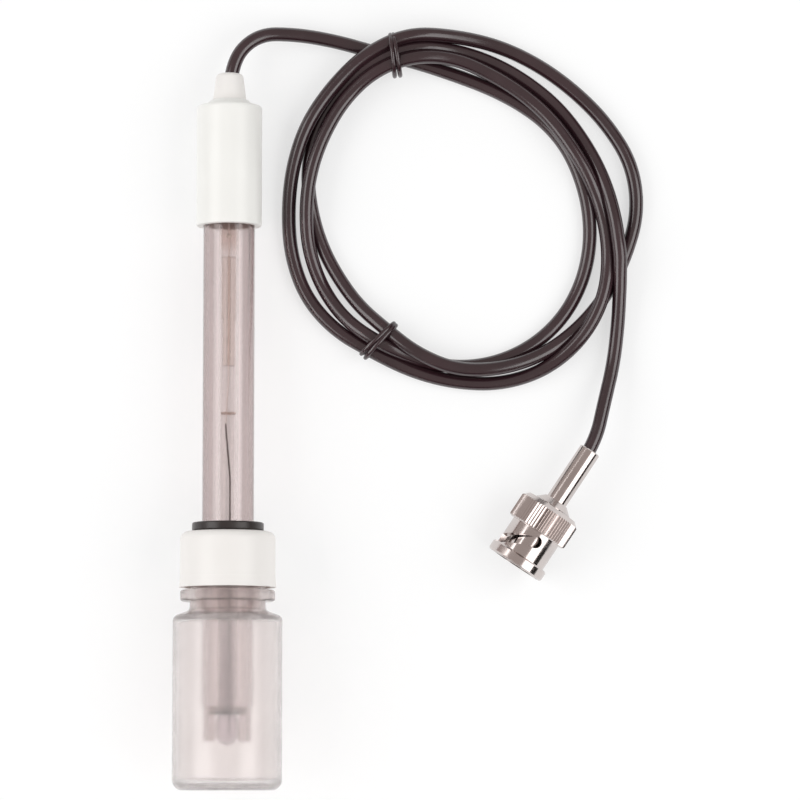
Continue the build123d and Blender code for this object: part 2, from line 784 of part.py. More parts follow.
# Knurled coupling ring with its two bayonet slots
knurl_points = []
for tooth in range(knurl_count):
    for phase, reach in [(0, knurl_radius), (0.5, knurl_radius - knurl_depth)]:
        turn = 2 * math.pi * (tooth + phase) / knurl_count - math.pi / 2
        knurl_points.append((reach * math.cos(turn), reach * math.sin(turn)))
with BuildPart() as bnc_coupling:
    with BuildSketch(plug_across.offset(lip_rear)):
        with BuildLine():
            Polyline(*knurl_points, close=True)
        make_face()
    extrude(amount=knurl_length)
    with BuildSketch(plug_section):
        with BuildLine():
            Polyline(
                (0, lip_rear),
                (-(knurl_radius - knurl_rear_chamfer), lip_rear),
                (-knurl_radius, lip_rear + knurl_rear_chamfer),
                (-knurl_radius, knurl_front - knurl_front_chamfer),
                (-(knurl_radius - knurl_front_chamfer), knurl_front),
                (0, knurl_front),
                close=True,
            )
        make_face()
    revolve(axis=plug_axis, mode=Mode.INTERSECT)
    with BuildSketch(plug_section):
        with BuildLine():
            Polyline(
                (0, knurl_front - knurl_front_chamfer),
                (-sleeve_outer_radius, knurl_front - knurl_front_chamfer),
                (-sleeve_outer_radius, rim_rear),
                (-(rim_outer_radius - rim_chamfer), rim_rear),
                (-rim_outer_radius, rim_rear + rim_chamfer),
                (-rim_outer_radius, coupling_front - rim_chamfer),
                (-(rim_outer_radius - rim_chamfer), coupling_front),
                (0, coupling_front),
                close=True,
            )
        make_face()
    revolve(axis=plug_axis)
    with BuildSketch(plug_across.offset(lip_rear - knurl_depth)):
        Circle(barrel_radius + lip_clearance)
    extrude(amount=lip_length + 2 * knurl_depth, mode=Mode.SUBTRACT)
    with BuildSketch(plug_across.offset(lip_front)):
        Circle(coupling_bore)
    extrude(amount=coupling_front - lip_front + knurl_depth, mode=Mode.SUBTRACT)
    for side in (0, 180):
        hole_angle = math.radians(slot_hole_angle + side)
        entry_angle = slot_hole_angle + slot_sweep + side
        hole_way = plug_side * math.cos(hole_angle) + Vector(0, 0, math.sin(hole_angle))
        with BuildSketch(Plane(origin=plug_point + along_plug * slot_hole_station, z_dir=hole_way)):
            Circle(slot_hole_radius)
        extrude(amount=rim_outer_radius, mode=Mode.SUBTRACT)
        with BuildSketch(plug_across.offset(slot_hole_station + slot_rise - slot_width / 2)):
            with PolarLocations(0, 1, start_angle=entry_angle):
                Rectangle(
                    sleeve_outer_radius + rim_chamfer, slot_width, align=(Align.MIN, Align.CENTER)
                )
        extrude(amount=slot_hole_from_front - slot_rise + slot_width, mode=Mode.SUBTRACT)
        ramp_turn = slot_hole_angle - ramp_start_angle + side
        add(bayonet_slot.part.rotate(plug_axis, ramp_turn), mode=Mode.SUBTRACT)
bnc_coupling.part.label = "bnc_coupling"
export_step(bnc_coupling.part, "parts/bnc_coupling.step")

# Coil of the cable: the outer shape of its bundle, which lies on the ties
coil_low = tie_thickness + tie_gap


def coil_outline(radii):
    """Points around the coil's centre, clockwise from +Y"""
    points = []
    for index, radius in enumerate(radii):
        turn = 2 * math.pi * index / len(radii)
        points.append((coil_centre_x + radius * math.sin(turn), coil_centre_y + radius * math.cos(turn)))
    return points


with BuildPart() as cable_coil:
    with BuildSketch(Plane.XY.offset(coil_low)):
        with BuildLine():
            Spline(*coil_outline(coil_outer_radii), periodic=True)
        make_face()
        with BuildLine():
            Spline(*coil_outline(coil_inner_radii), periodic=True)
        make_face(mode=Mode.SUBTRACT)
    extrude(amount=coil_height)
    fillet(cable_coil.edges().filter_by(Plane.XY), coil_round)
cable_coil.part.label = "cable_coil"
export_step(cable_coil.part, "parts/cable_coil.step")

# Cable from the boot to the coil
lead_points = [
    tuple(on_shaft(jacket_end)),
    tuple(on_shaft(boot_top + boot_run)),
    (6.2, 92.7, 5.9),
    (15.8, 92.6, 4.2),
    (25.3, 91.3, 2.9),
    (34.6, 88.9, 2.8),
]
lead_radii = route_radii(lead_points)
print("lead radii", [round(radius, 1) for radius in lead_radii])
with BuildPart() as cable_lead:
    with BuildLine() as lead_path:
        FilletPolyline(*lead_points, radius=lead_radii)
    with BuildSketch(Plane(origin=lead_path.line @ 0, z_dir=lead_path.line % 0)):
        Circle(cable_radius)
    sweep(path=lead_path.line)
cable_lead.part.label = "cable_lead"
export_step(cable_lead.part, "parts/cable_lead.step")
lead_volume = math.pi * cable_radius**2 * lead_path.wire().length
print("lead volume", round(cable_lead.part.volume, 1), "section times length", round(lead_volume, 1))

# Cable from the coil to the plug
tail_points = [
    (91.2, 34.1, 4.0),
    (90.8, 25.3, 2.7),
    (89.7, 15.9, 3.1),
    (87.4, 6.6, 5.4),
    tuple(plug_point - along_plug * ferrule_entry),
    tuple(plug_point + along_plug * cable_in_ferrule),
]
tail_radii = route_radii(tail_points)
print("tail radii", [round(radius, 1) for radius in tail_radii])
with BuildPart() as cable_tail:
    with BuildLine() as tail_path:
        FilletPolyline(*tail_points, radius=tail_radii)
    with BuildSketch(Plane(origin=tail_path.line @ 0, z_dir=tail_path.line % 0)):
        Circle(cable_radius)
    sweep(path=tail_path.line)
cable_tail.part.label = "cable_tail"
export_step(cable_tail.part, "parts/cable_tail.step")
tail_volume = math.pi * cable_radius**2 * tail_path.wire().length
print("tail volume", round(cable_tail.part.volume, 1), "section times length", round(tail_volume, 1))

# Ties around the bundle
tie_inner_height = coil_height + 2 * tie_gap
tie_outer_length = tie_opening + 2 * tie_thickness
tie_outer_height = tie_inner_height + 2 * tie_thickness
for tie_name, tie_x, tie_y, tie_turn in tie_places:
    tie_way = Vector(math.cos(math.radians(tie_turn)), math.sin(math.radians(tie_turn)), 0)
    tie_centre = Vector(tie_x, tie_y, coil_low + coil_height / 2)
    with BuildPart() as tie:
        with BuildSketch(Plane(origin=tie_centre, x_dir=tie_way, z_dir=tie_way.cross(Vector(0, 0, 1)))):
            RectangleRounded(tie_outer_length, tie_outer_height, tie_corner + tie_thickness)
            RectangleRounded(tie_opening, tie_inner_height, tie_corner, mode=Mode.SUBTRACT)
        extrude(amount=tie_width / 2, both=True)
    tie.part.label = tie_name
    export_step(tie.part, "parts/" + tie_name + ".step")

print("tilt", round(math.degrees(tilt), 3), "base", tuple(round(v, 3) for v in base_point))
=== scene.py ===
"""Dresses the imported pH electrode: finishes, coiled cable and ties, table, light and camera."""

import logging
import math
from dataclasses import dataclass, field
from enum import Enum

import bpy
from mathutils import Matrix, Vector


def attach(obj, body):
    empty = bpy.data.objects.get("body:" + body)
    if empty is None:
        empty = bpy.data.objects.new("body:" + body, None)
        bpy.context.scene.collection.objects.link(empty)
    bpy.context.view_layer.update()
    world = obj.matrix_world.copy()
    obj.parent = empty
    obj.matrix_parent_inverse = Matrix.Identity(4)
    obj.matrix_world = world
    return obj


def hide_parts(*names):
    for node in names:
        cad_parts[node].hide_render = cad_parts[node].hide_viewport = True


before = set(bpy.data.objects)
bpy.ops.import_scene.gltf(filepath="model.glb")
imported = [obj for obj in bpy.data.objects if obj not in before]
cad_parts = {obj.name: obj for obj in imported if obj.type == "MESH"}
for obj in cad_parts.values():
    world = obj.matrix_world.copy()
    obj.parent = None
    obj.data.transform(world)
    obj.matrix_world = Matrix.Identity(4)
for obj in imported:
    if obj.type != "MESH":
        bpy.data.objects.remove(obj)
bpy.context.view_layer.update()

Colour = tuple[float, float, float]
Point = tuple[float, float, float]
MM = 0.001
LOG = logging.getLogger("electrode")


class Slot(Enum):
    """The record's material slots."""

    HEAD_WHITE = "head_white"
    BOOT_WHITE = "boot_white"
    SHAFT_TINT = "shaft_tint"
    STEM_GLASS = "stem_glass"
    BOTTLE_CLEAR = "bottle_clear"
    CAP_WHITE = "cap_white"
    BLACK_RUBBER = "black_rubber"
    CABLE_BLACK = "cable_black"
    NICKEL = "nickel"
    GILT = "gilt"
    SILVER_WIRE = "silver_wire"
    DARK_SLEEVE = "dark_sleeve"
    POTTING = "potting"
    JUNCTION_WHITE = "junction_white"
    PALE_INSULATOR = "pale_insulator"


class Sheet:
    """A node tree, with short calls that add nodes and join them."""

    def __init__(self, tree: bpy.types.NodeTree) -> None:
        """Starts on an empty tree."""
        self.tree = tree
        tree.nodes.clear()

    def add(self, kind: str, **settings: object) -> bpy.types.Node:
        """Adds a node.

        Args:
            kind: the node's type name without "ShaderNode".
            settings: properties of the node, by name.

        Returns:
            The new node.
        """
        name = kind if kind.startswith("Node") else "ShaderNode" + kind
        node = self.tree.nodes.new(name)
        for key, value in settings.items():
            setattr(node, key, value)
        return node

    def put(self, node: bpy.types.Node, **values: object) -> None:
        """Sets input sockets by name.

        Args:
            node: the node whose inputs are set.
            values: numbers and colours, or output sockets to be joined; "_" stands for a space.
        """
        for key, value in values.items():
            socket = node.inputs[key.replace("_", " ")]
            if isinstance(value, bpy.types.NodeSocket):
                self.tree.links.new(value, socket)
            else:
                socket.default_value = value

    def join(self, source: bpy.types.NodeSocket, target: bpy.types.NodeSocket) -> None:
        """Joins an output to an input."""
        self.tree.links.new(source, target)

    def ramp(
        self, factor: bpy.types.NodeSocket, low: float, high: float, start: float, end: float
    ) -> bpy.types.NodeSocket:
        """Maps a value from one range to another.

        Args:
            factor: the value.
            low: where the range starts.
            high: where it ends.
            start: the result at low.
            end: the result at high.

        Returns:
            The result's socket.
        """
        node = self.add("MapRange", interpolation_type="SMOOTHSTEP")
        self.put(node, Value=factor, From_Min=low, From_Max=high, To_Min=start, To_Max=end)
        return node.outputs["Result"]

    def blend(
        self, factor: bpy.types.NodeSocket, first: Colour | bpy.types.NodeSocket, second: Colour
    ) -> bpy.types.NodeSocket:
        """Mixes two colours.

        Args:
            factor: 0 gives the first, 1 the second.
            first: a linear colour, or a socket that gives one.
            second: a linear colour.

        Returns:
            The mixed colour's socket.
        """
        node = self.add("Mix", data_type="RGBA")
        self.join(factor, node.inputs[0])
        if isinstance(first, bpy.types.NodeSocket):
            self.join(first, node.inputs[6])
        else:
            node.inputs[6].default_value = (*first, 1.0)
        node.inputs[7].default_value = (*second, 1.0)
        return node.outputs[2]


class SurfaceGroup:
    """A node group that more than one finish uses, built once."""

    name: str = "surface"

    def tree(self) -> bpy.types.NodeTree:
        """Finds the group's tree, or makes it the first time it is asked for.

        Returns:
            The group's tree.
        """
        found = bpy.data.node_groups.get(self.name)
        if found is not None:
            return found
        tree = bpy.data.node_groups.new(self.name, "ShaderNodeTree")
        self.make(tree)
        return tree

    def make(self, tree: bpy.types.NodeTree) -> None:
        """Fills the new tree."""
        raise NotImplementedError

    @staticmethod
    def sockets(tree: bpy.types.NodeTree, inputs: dict[str, float | None], outputs: list[str]) -> None:
        """Makes the group's sockets.

        Args:
            tree: the group's tree.
            inputs: names with their usual values; None makes a vector.
            outputs: names of values that come out.
        """
        for name, value in inputs.items():
            kind = "NodeSocketVector" if value is None else "NodeSocketFloat"
            socket = tree.interface.new_socket(name=name, in_out="INPUT", socket_type=kind)
            if value is not None:
                socket.default_value = value
        for name in outputs:
            tree.interface.new_socket(name=name, in_out="OUTPUT", socket_type="NodeSocketFloat")


class MouldedSkin(SurfaceGroup):
    """The fine grain of a mould's face and the slow clouding of what was moulded in it."""

    name: str = "moulded_skin"
    grain: float = 2600.0
    cloud: float = 70.0
    cloud_edge: tuple[float, float] = (0.3, 0.7)

    def make(self, tree: bpy.types.NodeTree) -> None:
        """Fills the tree with a fine grain and a slow cloud.

        Args:
            tree: the group's new tree.
        """
        sheet = Sheet(tree)
        self.sockets(tree, {"Vector": None, "Grain": self.grain, "Cloud": self.cloud}, ["Height", "Mask"])
        start = sheet.add("NodeGroupInput")
        end = sheet.add("NodeGroupOutput")
        place = start.outputs["Vector"]
        grain = sheet.add("TexNoise")
        sheet.put(grain, Vector=place, Scale=start.outputs["Grain"], Detail=3.0, Roughness=0.6)
        cloud = sheet.add("TexNoise")
        sheet.put(cloud, Vector=place, Scale=start.outputs["Cloud"], Detail=2.0, Roughness=0.5)
        sheet.join(grain.outputs["Fac"], end.inputs["Height"])
        sheet.join(sheet.ramp(cloud.outputs["Fac"], *self.cloud_edge, 0.0, 1.0), end.inputs["Mask"])


class HandlingMarks(SurfaceGroup):
    """Faint smears from hands, and hairline scratches."""

    name: str = "handling_marks"
    smear: float = 160.0
    smear_edge: tuple[float, float] = (0.42, 0.68)
    hair: float = 900.0
    hair_width: float = 0.02
    hair_turn: Point = (0.2, 0.1, 0.6)
    hair_stretch: Point = (1.0, 0.06, 0.3)

    def make(self, tree: bpy.types.NodeTree) -> None:
        """Fills the tree with smears and hairlines.

        Args:
            tree: the group's new tree.
        """
        sheet = Sheet(tree)
        inputs = {"Vector": None, "Smear": self.smear, "Hair": self.hair}
        self.sockets(tree, inputs, ["Smears", "Scratches"])
        start = sheet.add("NodeGroupInput")
        end = sheet.add("NodeGroupOutput")
        place = start.outputs["Vector"]
        smear = sheet.add("TexNoise")
        sheet.put(smear, Vector=place, Scale=start.outputs["Smear"], Detail=4.0, Distortion=1.2)
        turned = sheet.add("Mapping")
        sheet.put(turned, Vector=place, Rotation=self.hair_turn, Scale=self.hair_stretch)
        hair = sheet.add("TexVoronoi", feature="DISTANCE_TO_EDGE")
        sheet.put(hair, Vector=turned.outputs["Vector"], Scale=start.outputs["Hair"])
        smears = sheet.ramp(smear.outputs["Fac"], *self.smear_edge, 0.0, 1.0)
        scratches = sheet.ramp(hair.outputs["Distance"], 0.0, self.hair_width, 1.0, 0.0)
        sheet.join(smears, end.inputs["Smears"])
        sheet.join(scratches, end.inputs["Scratches"])


@dataclass(frozen=True)
class Finish:
    """What every finish has: the slot it is for, a linear colour and how rough it is."""

    slot: Slot
    colour: Colour
    roughness: float

    def material(self) -> bpy.types.Material:
        """Builds the finish.

        Returns:
            A new material with the slot's name.
        """
        made = bpy.data.materials.new(self.slot.value + "_finish")
        made.use_nodes = True
        sheet = Sheet(made.node_tree)
        place = sheet.add("TexCoord").outputs["Object"]
        shader = sheet.add("BsdfPrincipled")
        out = sheet.add("OutputMaterial")
        self.fill(sheet, shader, place)
        sheet.join(self.surface(sheet, shader), out.inputs["Surface"])
        self.inside(sheet, out)
        return made

    def inside(self, sheet: Sheet, out: bpy.types.Node) -> None:
        """Leaves the inside plain; a see-through finish fills it."""

    def fill(self, sheet: Sheet, shader: bpy.types.Node, place: bpy.types.NodeSocket) -> None:
        """Sets the shader's colour, roughness and normal.

        Args:
            sheet: the material's tree.
            shader: its Principled shader.
            place: the object's own coordinates.
        """
        raise NotImplementedError

    def surface(self, sheet: Sheet, shader: bpy.types.Node) -> bpy.types.NodeSocket:
        """Returns what goes to the material's surface."""
        return shader.outputs["BSDF"]

    def skin(
        self, sheet: Sheet, shader: bpy.types.Node, place: bpy.types.NodeSocket, grain: float, depth: float
    ) -> bpy.types.Node:
        """Gives the shader a moulded skin's grain.

        Args:
            sheet: the material's tree.
            shader: its Principled shader.
            place: the coordinates that the grain follows.
            grain: how many grains there are in a metre.
            depth: the grain's height in metres.

        Returns:
            The group node, for its mask.
        """
        node = sheet.add("Group", node_tree=MouldedSkin().tree())
        sheet.put(node, Vector=place, Grain=grain)
        bump = sheet.add("Bump")
        sheet.put(bump, Strength=1.0, Distance=depth, Height=node.outputs["Height"])
        sheet.join(bump.outputs["Normal"], shader.inputs["Normal"])
        return node

    def marks(
        self, sheet: Sheet, shader: bpy.types.Node, place: bpy.types.NodeSocket, more: float
    ) -> bpy.types.Node:
        """Roughens the shader where hands have touched it.

        Args:
            sheet: the material's tree.
            shader: its Principled shader.
            place: the coordinates that the marks follow.
            more: how much rougher a smear is.

        Returns:
            The group node, for its masks.
        """
        node = sheet.add("Group", node_tree=HandlingMarks().tree())
        sheet.put(node, Vector=place)
        rough = sheet.ramp(node.outputs["Smears"], 0.0, 1.0, self.roughness, self.roughness + more)
        sheet.join(rough, shader.inputs["Roughness"])
        return node


@dataclass(frozen=True)
class SolidPlastic(Finish):
    """An opaque moulded plastic, with a little clouding in its colour."""

    shade: Colour = (0.8, 0.8, 0.8)
    grain: float = 2600.0
    depth: float = 0.000008
    smear: float = 0.08
    index: float = 1.5

    def fill(self, sheet: Sheet, shader: bpy.types.Node, place: bpy.types.NodeSocket) -> None:
        """Sets a clouded colour, a fine grain and faint smears.

        Args:
            sheet: the material's tree.
            shader: its Principled shader.
            place: the object's own coordinates.
        """
        sheet.put(shader, IOR=self.index)
        skin = self.skin(sheet, shader, place, self.grain, self.depth)
        sheet.join(sheet.blend(skin.outputs["Mask"], self.colour, self.shade), shader.inputs["Base Color"])
        self.marks(sheet, shader, place, self.smear)


@dataclass(frozen=True)
class DarkerEnd:
    """A colour that a see-through piece turns to along the electrode, from one place on Y to another. On
    the bottle it is painted shade.
    """

    colour: Colour
    start: float
    stop: float


@dataclass(frozen=True)
class ClearMoulding(Finish):
    """A see-through plastic or glass that lets the lamps' light through."""

    index: float = 1.5
    clearness: float = 1.0
    coat: float = 0.0
    absorption: float = 0.0
    kept: Colour = (0.0, 0.0, 0.0)
    ends: tuple[DarkerEnd, ...] = ()
    coat_roughness: float = 0.12
    cloud_gain: float = 1.02
    grain: float = 400.0
    depth: float = 0.00001
    smear: float = 0.04

    def fill(self, sheet: Sheet, shader: bpy.types.Node, place: bpy.types.NodeSocket) -> None:
        """Sets the see-through colour and darkens it towards its ends, which is painted shade on the
        bottle; adds the flow marks of the moulding and faint smears.

        Args:
            sheet: the material's tree.
            shader: its Principled shader.
            place: the object's own coordinates.
        """
        skin = self.skin(sheet, shader, place, self.grain, self.depth)
        paler = tuple(min(1.0, self.cloud_gain * part) for part in self.colour)
        surface_colour = sheet.blend(skin.outputs["Mask"], self.colour, paler)
        parts = sheet.add("SeparateXYZ")
        sheet.join(place, parts.inputs[0])
        for end in self.ends:
            rising = end.stop > end.start
            low, high = sorted((end.start, end.stop))
            reach = sheet.ramp(parts.outputs["Y"], low, high, float(not rising), float(rising))
            surface_colour = sheet.blend(reach, surface_colour, end.colour)
        sheet.join(surface_colour, shader.inputs["Base Color"])
        self.marks(sheet, shader, place, self.smear)
        sheet.put(shader, IOR=self.index, Transmission_Weight=self.clearness)
        sheet.put(shader, Coat_Weight=self.coat, Coat_Roughness=self.coat_roughness)

    def inside(self, sheet: Sheet, out: bpy.types.Node) -> None:
        """Darkens the light by the length of its way through the wall.

        Args:
            sheet: the material's tree.
            out: its output node.
        """
        if self.absorption > 0.0:
            wall = sheet.add("VolumeAbsorption")
            sheet.put(wall, Color=(*self.kept, 1.0), Density=self.absorption)
            sheet.join(wall.outputs["Volume"], out.inputs["Volume"])

    def surface(self, sheet: Sheet, shader: bpy.types.Node) -> bpy.types.NodeSocket:
        """Mixes the shader with a plain filter for the lamps' shadow rays.

        Args:
            sheet: the material's tree.
            shader: its Principled shader.

        Returns:
            The mixed surface's socket.
        """
        filtered = sheet.add("BsdfTransparent")
        sheet.put(filtered, Color=(*self.colour, 1.0))
        mix = sheet.add("MixShader")
        sheet.join(sheet.add("LightPath").outputs["Is Shadow Ray"], mix.inputs[0])
        sheet.join(shader.outputs["BSDF"], mix.inputs[1])
        sheet.join(filtered.outputs["BSDF"], mix.inputs[2])
        return mix.outputs["Shader"]


@dataclass(frozen=True)
class CoatedWire(Finish):
    """A silver wire whose lower end has a dark chloride coat."""

    grain: float = 3000.0
    depth: float = 0.000004
    wear: float = 0.94
    coat: Colour = (0.06, 0.04, 0.035)
    coat_roughness: float = 0.6
    coat_top: float = 0.0011
    coat_fade: float = 0.0006
    shine: float = 0.25

    def fill(self, sheet: Sheet, shader: bpy.types.Node, place: bpy.types.NodeSocket) -> None:
        """Sets bright silver above and the coat below, each with its own gloss.

        Args:
            sheet: the material's tree.
            shader: its Principled shader.
            place: the object's own coordinates.
        """
        skin = self.skin(sheet, shader, place, self.grain, self.depth)
        dull = tuple(self.wear * part for part in self.colour)
        worn = sheet.blend(skin.outputs["Mask"], self.colour, dull)
        parts = sheet.add("SeparateXYZ")
        sheet.join(place, parts.inputs[0])
        bare = (self.coat_top, self.coat_top + self.coat_fade)
        coated = sheet.ramp(parts.outputs["Y"], *bare, 1.0, 0.0)
        sheet.join(sheet.blend(coated, worn, self.coat), shader.inputs["Base Color"])
        sheet.join(sheet.ramp(parts.outputs["Y"], *bare, 0.0, self.shine), shader.inputs["Metallic"])
        gloss = sheet.ramp(parts.outputs["Y"], *bare, self.coat_roughness, self.roughness)
        sheet.join(gloss, shader.inputs["Roughness"])


@dataclass(frozen=True)
class PlatedMetal(Finish):
    """A turned and plated metal, with fine lathe lines round the plug's axis."""

    lines: float = 9000.0
    depth: float = 0.0000015
    along: float = 0.02
    wear: float = 0.9
    smear: float = 0.08
    axis_turn: float = 0.0

    def fill(self, sheet: Sheet, shader: bpy.types.Node, place: bpy.types.NodeSocket) -> None:
        """Sets a plated colour, lathe lines and faint smears.

        Args:
            sheet: the material's tree.
            shader: its Principled shader.
            place: the object's own coordinates.
        """
        turned = sheet.add("Mapping", vector_type="TEXTURE")
        sheet.put(turned, Vector=place, Rotation=(0.0, 0.0, self.axis_turn))
        along = sheet.add("Mapping")
        sheet.put(along, Vector=turned.outputs["Vector"], Scale=(1.0, self.along, self.along))
        skin = self.skin(sheet, shader, along.outputs["Vector"], self.lines, self.depth)
        worn = tuple(self.wear * part for part in self.colour)
        sheet.join(sheet.blend(skin.outputs["Mask"], self.colour, worn), shader.inputs["Base Color"])
        self.marks(sheet, shader, place, self.smear)
        sheet.put(shader, Metallic=1.0)


PLUG_HEADING = math.radians(236.3)
FINISHES: tuple[Finish, ...] = (
    SolidPlastic(Slot.HEAD_WHITE, (0.91, 0.90, 0.865), 0.32, shade=(0.89, 0.88, 0.845)),
    SolidPlastic(Slot.BOOT_WHITE, (0.885, 0.855, 0.825), 0.46, shade=(0.865, 0.835, 0.805), grain=1800.0),
    ClearMoulding(
        Slot.SHAFT_TINT, (0.975, 0.97, 0.968), 0.16, index=1.22, coat=1.0,
        absorption=220.0, kept=(0.27, 0.02, 0.0), depth=0.000001,
    ),
    ClearMoulding(
        Slot.STEM_GLASS, (0.985, 0.98, 0.977), 0.05, index=1.32, depth=0.000003,
        ends=(
            DarkerEnd((0.90, 0.84, 0.81), 0.0400, 0.0450),
            DarkerEnd((0.80, 0.75, 0.77), -0.030, -0.066),
        ),
    ),
    ClearMoulding(
        Slot.BOTTLE_CLEAR, (0.91, 0.88, 0.873), 0.22, index=1.36, clearness=0.88,
        grain=250.0, depth=0.00003,
        ends=(
            # Painted shade: the bottle darkens from the neck up, where the thread and the cap's skirt
            # overlap, and towards its base.
            DarkerEnd((0.77, 0.705, 0.69), -0.0436, -0.0408),
            DarkerEnd((0.875, 0.845, 0.838), -0.064, -0.074),
        ),
    ),
    SolidPlastic(Slot.CAP_WHITE, (0.88, 0.85, 0.82), 0.38, shade=(0.86, 0.83, 0.80), grain=2000.0),
    SolidPlastic(
        Slot.BLACK_RUBBER, (0.022, 0.016, 0.015), 0.30, shade=(0.030, 0.023, 0.022), depth=0.00001,
    ),
    SolidPlastic(
        Slot.CABLE_BLACK, (0.024, 0.009, 0.012), 0.17, shade=(0.033, 0.013, 0.017),
        depth=0.000003, index=1.75,
    ),
    PlatedMetal(Slot.NICKEL, (0.66, 0.60, 0.58), 0.14, axis_turn=PLUG_HEADING),
    PlatedMetal(Slot.GILT, (0.85, 0.62, 0.30), 0.16, axis_turn=PLUG_HEADING),
    CoatedWire(Slot.SILVER_WIRE, (0.80, 0.74, 0.72), 0.30),
    ClearMoulding(Slot.DARK_SLEEVE, (0.90, 0.85, 0.82), 0.22, index=1.4, clearness=0.9),
    ClearMoulding(Slot.POTTING, (0.62, 0.50, 0.45), 0.30, index=1.5, clearness=0.6),
    SolidPlastic(Slot.JUNCTION_WHITE, (0.80, 0.78, 0.75), 0.75, shade=(0.70, 0.68, 0.65), depth=0.00004),
    SolidPlastic(Slot.PALE_INSULATOR, (0.82, 0.80, 0.77), 0.40, shade=(0.80, 0.78, 0.74)),
)


@dataclass
class Wardrobe:
    """Every finish's material, found by its slot."""

    made: dict[str, bpy.types.Material] = field(default_factory=dict)

    def fill(self) -> None:
        """Builds the materials."""
        for finish in FINISHES:
            self.made[finish.slot.value] = finish.material()

    def dress_nodes(self) -> int:
        """Puts each CAD node in the finish of the slot that its own material names.

        Returns:
            How many nodes were dressed.
        """
        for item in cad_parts.values():
            for place in item.material_slots:
                own = place.material.name.split(".")[0]
                place.material = self.made[own]
        return len(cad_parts)


def deselect() -> None:
    """Leaves nothing selected and nothing active, in object mode."""
    if bpy.context.object is not None and bpy.context.object.mode != "OBJECT":
        bpy.ops.object.mode_set(mode="OBJECT")
    bpy.ops.object.select_all(action="DESELECT")


def settle(piece: bpy.types.Object) -> None:
    """Applies a piece's place, turn and size to its mesh.

    Args:
        piece: the object to settle.
    """
    deselect()
    piece.select_set(True)
    bpy.context.view_layer.objects.active = piece
    bpy.ops.object.transform_apply(location=True, rotation=True, scale=True)


@dataclass
class Tie:
    """A black coated wire wound twice round the cable's turns."""

    name: str
    centre: Point
    heading: float
    half_width: float
    half_height: float
    wire_radius: float = 0.52 * MM
    lean: float = math.radians(1.8)
    spread: float = 0.50 * MM
    wire_sides: int = 12
    steps: int = 48
    weld: float = 0.02 * MM

    def turn(self, side: int) -> bpy.types.Object:
        """Makes one turn of the wire.

        Args:
            side: 1 or -1, the side of the tie's middle that the turn lies on.

        Returns:
            The turn's object.
        """
        deselect()
        bpy.ops.mesh.primitive_circle_add(
            vertices=self.wire_sides, radius=self.wire_radius,
            location=(self.half_width, 0.0, 0.0), rotation=(math.pi / 2, 0.0, 0.0),
        )
        piece = bpy.context.object
        bpy.ops.object.transform_apply(location=True, rotation=True, scale=True)
        bpy.ops.object.mode_set(mode="EDIT")
        bpy.ops.mesh.select_all(action="SELECT")
        bpy.ops.mesh.spin(
            steps=self.steps, angle=math.tau, center=(0.0, 0.0, 0.0), axis=(0.0, 0.0, 1.0)
        )
        bpy.ops.mesh.select_all(action="SELECT")
        bpy.ops.mesh.remove_doubles(threshold=self.weld)
        bpy.ops.mesh.normals_make_consistent(inside=False)
        bpy.ops.object.mode_set(mode="OBJECT")
        piece.scale = (1.0, self.half_height / self.half_width, 1.0)
        bpy.ops.object.transform_apply(location=False, rotation=False, scale=True)
        piece.rotation_euler = (math.pi / 2, 0.0, 0.0)
        bpy.ops.object.transform_apply(location=False, rotation=True, scale=False)
        piece.rotation_euler = (0.0, 0.0, side * self.lean)
        piece.location = (0.0, side * self.spread, 0.0)
        bpy.ops.object.transform_apply(location=True, rotation=True, scale=False)
        bpy.ops.object.shade_smooth()
        return piece

    def build(self, slot: Slot, material: bpy.types.Material) -> bpy.types.Object:
        """Winds both turns and lays them round the bundle.

        Args:
            slot: not used.
            material: the finish.

        Returns:
            The tie's object.
        """
        first, second = self.turn(1), self.turn(-1)
        deselect()
        first.select_set(True)
        second.select_set(True)
        bpy.context.view_layer.objects.active = first
        bpy.ops.object.join()
        first.rotation_euler = (0.0, 0.0, self.heading)
        first.location = self.centre
        settle(first)
        first.name = self.name + "_wire"
        first.data.materials.clear()
        first.data.materials.append(material)
        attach(first, "root")
        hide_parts(self.name)
        return first


